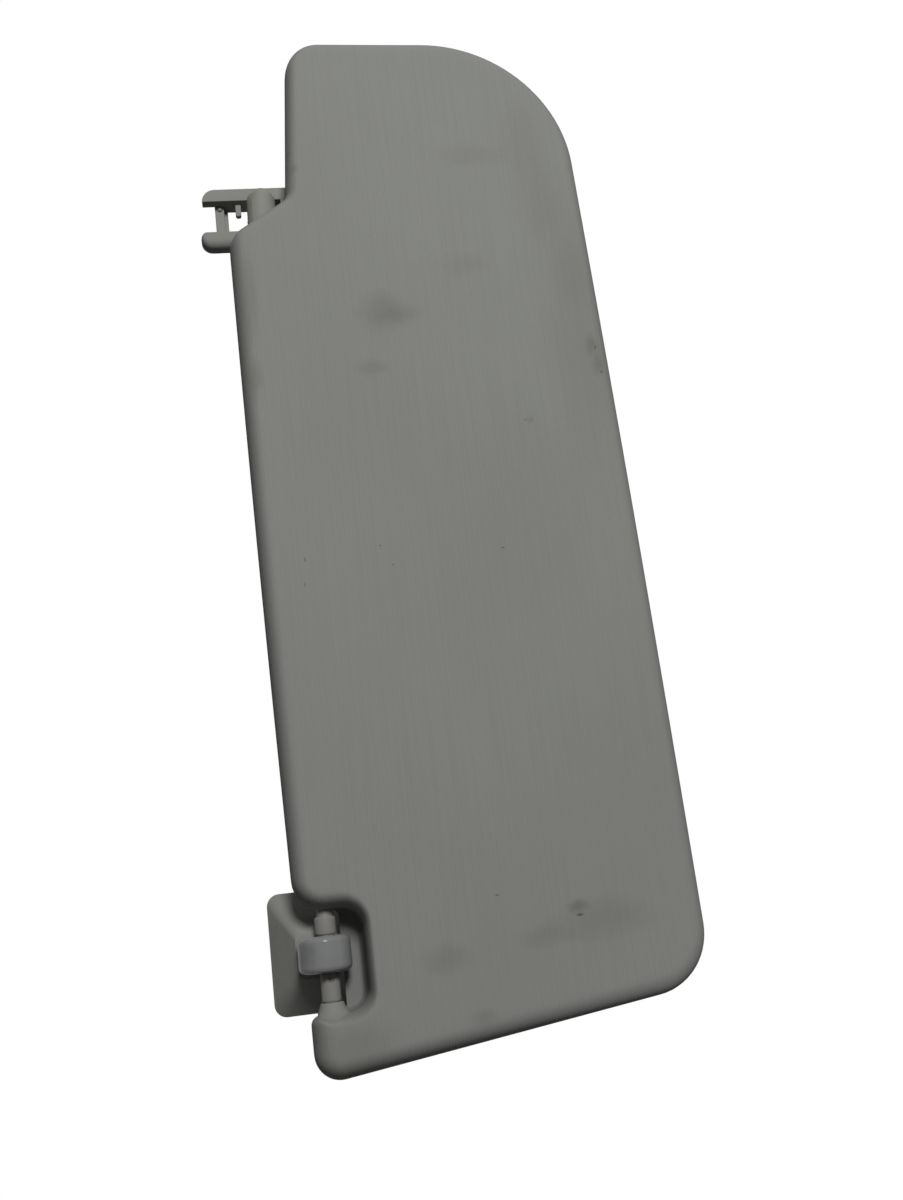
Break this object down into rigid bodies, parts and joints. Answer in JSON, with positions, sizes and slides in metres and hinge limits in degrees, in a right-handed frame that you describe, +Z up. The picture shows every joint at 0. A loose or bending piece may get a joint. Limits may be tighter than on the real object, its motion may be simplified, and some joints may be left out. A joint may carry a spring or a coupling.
{
  "type": "car sun visor",
  "caption": "Fabric-covered car sun visor on a swivel base and pivot rod, with a flared roof retainer turning on its end pin.",
  "frame": {"origin": "on the swivel base's roof face, on the swivel axis", "axes": "as fitted and stowed under the roof: +Z up to the roof, +X outboard along the pivot rod towards the base, +Y to the rear towards the visor's free edge"},
  "size_m": [0.4511, 0.1795, 0.0381],
  "materials": {
    "fabric": "fine lengthwise ribbed cloth",
    "core_foam": "moulded bead foam",
    "grey_plastic": "fine grained moulding",
    "smooth_plastic": "rubbed smooth moulding",
    "pin_plastic": "smooth moulding",
    "nylon": "natural moulding",
    "steel": "zinc plated",
    "spring_steel": "blued"
  },
  "bodies": {
    "base": {"base_bracket": "grey_plastic", "swivel_bush": "nylon"},
    "arm": {"pivot_rod": "steel", "elbow_sleeve": "grey_plastic", "spring_washer": "steel", "shaft_ring": "steel", "rod_stop_ring": "steel"},
    "visor": {"front_cover": "fabric", "back_cover": "fabric", "front_core": "core_foam", "back_core": "core_foam", "rod_carrier": "nylon", "outer_bearing": "nylon", "inner_bearing": "nylon", "detent_clip": "spring_steel", "detent_rivets": "steel", "frame_wire": "steel", "end_pin": "pin_plastic", "upper_pin_anchor": "nylon", "lower_pin_anchor": "nylon"},
    "retainer": {"retainer_foot": "grey_plastic", "retainer_barrel": "smooth_plastic"}
  },
  "joints": [
    {"name": "arm_swing", "type": "hinge", "parent": "base", "child": "arm", "pos_m": [0, 0, 0], "axis": [0, 0, -1], "range_deg": [0, 100]},
    {"name": "visor_tilt", "type": "hinge", "parent": "arm", "child": "visor", "pos_m": [0, 0, -0.026], "axis": [-1, 0, 0], "range_deg": [0, 150]},
    {"name": "retainer_turn", "type": "hinge", "parent": "visor", "child": "retainer", "pos_m": [-0.3269, 0, -0.026], "axis": [1, 0, 0], "range_deg": [0, 150]}
  ]
}
